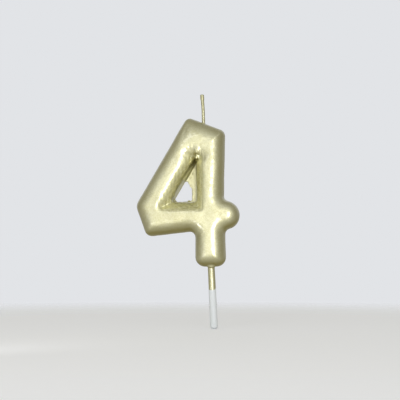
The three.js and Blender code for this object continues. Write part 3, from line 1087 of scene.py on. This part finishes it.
class CANDLE_OT_plait_wick(bpy.types.Operator):
    """Plait the wick, from the stick's head up to its free tip"""

    bl_idname = "candle.plait_wick"
    bl_label = "Plait Wick"

    def execute(self, context):
        settings = context.scene.candle_wick
        start = WICK_EXIT - PLAIT_HIDDEN
        end = WICK_TIP - TIP_ROUND
        buried = np.arange(SEAT_GAP, start, BURIED_STEP)
        shown = np.linspace(start, end, PLAIT_ROWS)
        rounding = np.linspace(0, math.pi / 2, TIP_ROWS + 1)[1:]
        height = np.concatenate([buried, shown, end + TIP_ROUND * np.sin(rounding)])
        sideways = WICK_BEND * (1 - np.cos(math.tau * ramp(height, WICK_EXIT, WICK_TIP))) / 2
        centres = STICK_HEAD + np.outer(height, ON_WICK[2]) + np.outer(sideways, ON_WICK[0])

        turn = np.linspace(0, math.tau, settings.sides, endpoint=False)
        along = math.tau * height[:, None] * MM / settings.plait_pitch
        plait = np.cos(along + turn) * np.cos(along / 2 - turn + STRAND_LAG)
        from_bead = (height - WICK_TIP + WICK_TIP_LENGTH / 2) / (WICK_TIP_LENGTH * BEAD_SPREAD)
        radius = part_way(WICK_DIAMETER, WICK_TIP_DIAMETER, np.exp(-from_bead ** 4)) / 2
        emerged = ramp(height, WICK_EXIT - PLAIT_HIDDEN / 2, WICK_EXIT + PLAIT_HIDDEN / 2)
        radii = radius[:, None] - settings.plait_height / MM * emerged[:, None] * (1 - plait) / 2
        radii[-TIP_ROWS:] *= part_way(TIP_NARROWING, 1, np.cos(rounding))[:, None]
        piece = swept("wick_plaited", centres, ON_WICK, radii)
        piece.data.materials.append(gold_wick_material(context.scene.candle_lacquer))
        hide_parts("wick")
        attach(piece, "root")
        return {"FINISHED"}


# Rows of points along the stick: round each of its ends, and between them
END_ROWS = 7
SHAFT_ROWS = 60


class CANDLE_OT_mould_stick(bpy.types.Operator):
    """Mould the plastic stick, a little wider towards its free end"""

    bl_idname = "candle.mould_stick"
    bl_label = "Mould Stick"

    def execute(self, context):
        settings = context.scene.candle_stick
        quarter = np.linspace(0, math.pi / 2, END_ROWS)
        inset = 1 - np.sin(quarter)
        fall = 1 - np.cos(quarter)
        bottom = -STICK_EXPOSED + STICK_END_ROUND * fall
        top = STICK_BURIED - STICK_HEAD_ROUND * fall[::-1]
        shaft = np.linspace(bottom[-1], top[0], SHAFT_ROWS)[1:-1]
        height = np.concatenate([bottom, shaft, top])
        radius = np.concatenate([
            STICK_END_DIAMETER / 2 - STICK_END_ROUND * inset,
            part_way(STICK_DIAMETER, STICK_END_DIAMETER, ramp(shaft, 0, -STICK_EXPOSED)) / 2,
            (STICK_DIAMETER / 2 - STICK_HEAD_ROUND * inset)[::-1],
        ])
        radii = np.repeat(radius[:, None], settings.sides, axis=1)
        piece = swept("stick_moulded", np.outer(height, ON_STICK[2]), ON_STICK, radii)
        look = context.scene.candle_lacquer
        piece.data.materials.append(stick_material(look, settings.plastic, -settings.gold_length / MM))
        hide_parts("stick")
        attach(piece, "root")
        return {"FINISHED"}


# Studio, in metres. A place round the candle is degrees to the right, degrees up, and a distance.
LOOK_AT = Vector((-0.010, 0.0012, 0.030))
CAMERA_PLACE = (8, -6.3, 0.3245)
CAMERA_SHIFT = (0.0288, -0.0055)
FLOOR_RADIUS = 0.5
FLOOR_SIDES = 96
FLOOR_FADE = (0.13, 0.42)
PALE_ALONG_Y = (0.3, 0.88)

# Lamps: name, side of the square, place, and the angle over which the light fans out
LAMPS = (
    ("Key", 0.2, (14, -1, 0.62), 180),
    ("Fill", 0.02, (-23, -18, 0.15), 90),
    ("Sky", 0.06, (-12, 24, 0.3), 180),
)


def seen_from(azimuth, elevation, distance):
    """A place round the point that the camera looks at, with azimuth 0 straight in front."""
    turn, lift = math.radians(azimuth), math.radians(elevation)
    away = Vector((math.sin(turn) * math.cos(lift), -math.cos(turn) * math.cos(lift), math.sin(lift)))
    return LOOK_AT + distance * away


def put_up(name, data, place):
    """A lamp or a camera in the scene, aimed at the candle from a place round it."""
    made = bpy.data.objects.new(name, data)
    made.location = seen_from(*place)
    made.rotation_euler = (LOOK_AT - made.location).to_track_quat("-Z", "Y").to_euler()
    bpy.context.scene.collection.objects.link(made)
    return made


def add_lamp(name, size, place, spread, power):
    """A square soft lamp, itself out of the camera's sight."""
    lamp = bpy.data.lights.new(name, "AREA")
    lamp.size = size
    lamp.energy = power
    lamp.spread = math.radians(spread)
    put_up(name, lamp, place).visible_camera = False


def add_camera(lens):
    camera = bpy.data.cameras.new("Camera")
    camera.lens = lens
    camera.sensor_width = 36
    camera.shift_x, camera.shift_y = CAMERA_SHIFT
    camera.clip_start = 0.01
    bpy.context.scene.camera = put_up("Camera", camera, CAMERA_PLACE)


def floor_material(color, glow):
    """Pale matt paper that fades into the surroundings with distance. It looks paler than it lights."""
    material, tree, shader = new_material("Pale floor")
    place = object_place(tree)
    fibres = noise(tree, place, scale=300.0, detail=3.0)
    paper = mixed(tree, fibres, opaque(color, brightness=0.98), opaque(color))
    ray = tree.nodes.new("ShaderNodeLightPath")
    mirrored = worked_out(tree, "MAXIMUM", ray.outputs["Is Glossy Ray"], ray.outputs["Is Transmission Ray"])
    shown = worked_out(tree, "MAXIMUM", ray.outputs["Is Camera Ray"], mirrored)
    away = node(tree, "ShaderNodeVectorMath", place, operation="LENGTH").outputs["Value"]
    near, far = FLOOR_FADE
    fade = {"interpolation_type": "SMOOTHSTEP", "from_min": near, "from_max": far, "to_min": 1, "to_max": 0}
    finish_surface(tree, shader, {
        "Base Color": paper,
        "Roughness": 0.9,
        "Specular IOR Level": 0.2,
        "Emission Color": paper,
        "Emission Strength": worked_out(tree, "MULTIPLY", shown, glow),
        "Alpha": mapped(tree, away, **fade),
    })
    return material


def add_floor(color, glow, height):
    turn = np.linspace(0, math.tau, FLOOR_SIDES, endpoint=False)
    rim = np.stack([np.cos(turn), np.sin(turn), 0 * turn], 1) * FLOOR_RADIUS / MM
    floor = smooth_mesh("floor", rim, [range(FLOOR_SIDES)])
    floor.location.z = height
    floor.data.materials.append(floor_material(color, glow))


def set_world(backdrop, sides):
    """Surroundings that are pale along Y, in front and behind, and dimmer all round between."""
    world = bpy.data.worlds.new("Studio")
    world.use_nodes = True
    tree = world.node_tree
    direction = tree.nodes.new("ShaderNodeTexCoord").outputs["Generated"]
    along_y = node(tree, "ShaderNodeSeparateXYZ", direction).outputs["Y"]
    along_y = worked_out(tree, "ABSOLUTE", along_y)
    low, high = PALE_ALONG_Y
    pale = mapped(tree, along_y, interpolation_type="SMOOTHSTEP", from_min=low, from_max=high)
    color = mixed(tree, pale, opaque(sides), opaque(backdrop))
    tree.links.new(color, tree.nodes["Background"].inputs["Color"])
    bpy.context.scene.world = world


class CANDLE_OT_set_studio(bpy.types.Operator):
    """Set up the floor, the surroundings, the lamps and the camera"""

    bl_idname = "candle.set_studio"
    bl_label = "Set Up Studio"

    def execute(self, context):
        settings = context.scene.candle_studio
        context.scene.view_settings.view_transform = "Standard"
        add_camera(settings.lens)
        set_world(settings.backdrop, settings.sides)
        add_floor(settings.floor, settings.floor_glow, CAD_BOX[0][2])
        for lamp, power in zip(LAMPS, (settings.key_power, settings.fill_power, settings.sky_power)):
            add_lamp(*lamp, power)
        return {"FINISHED"}


class CANDLE_PT_panel(bpy.types.Panel):
    """Settings and steps of the number candle"""

    bl_idname = "CANDLE_PT_panel"
    bl_label = "Number Candle"
    bl_space_type = "VIEW_3D"
    bl_region_type = "UI"
    bl_category = "Candle"

    def draw(self, context):
        scene = context.scene
        for title, settings, operator in (
            ("Lacquer", scene.candle_lacquer, None),
            ("Wax numeral", scene.candle_wax, CANDLE_OT_cast_numeral),
            ("Wick", scene.candle_wick, CANDLE_OT_plait_wick),
            ("Stick", scene.candle_stick, CANDLE_OT_mould_stick),
            ("Studio", scene.candle_studio, CANDLE_OT_set_studio),
        ):
            box = self.layout.box()
            box.label(text=title)
            for name in settings.__annotations__:
                box.prop(settings, name)
            if operator:
                box.operator(operator.bl_idname)


SETTINGS = {
    "candle_lacquer": LacquerSettings,
    "candle_wax": WaxSettings,
    "candle_wick": WickSettings,
    "candle_stick": StickSettings,
    "candle_studio": StudioSettings,
}
OPERATORS = (CANDLE_OT_cast_numeral, CANDLE_OT_plait_wick, CANDLE_OT_mould_stick, CANDLE_OT_set_studio)


def register():
    for made in (*SETTINGS.values(), *OPERATORS, CANDLE_PT_panel):
        bpy.utils.register_class(made)
    for name, settings in SETTINGS.items():
        setattr(bpy.types.Scene, name, PointerProperty(type=settings))


def unregister():
    for name in SETTINGS:
        delattr(bpy.types.Scene, name)
    for made in (CANDLE_PT_panel, *reversed(OPERATORS), *SETTINGS.values()):
        bpy.utils.unregister_class(made)


def main():
    register()
    bpy.ops.candle.cast_numeral()
    bpy.ops.candle.plait_wick()
    bpy.ops.candle.mould_stick()
    bpy.ops.candle.set_studio()


if __name__ == "__main__":
    main()
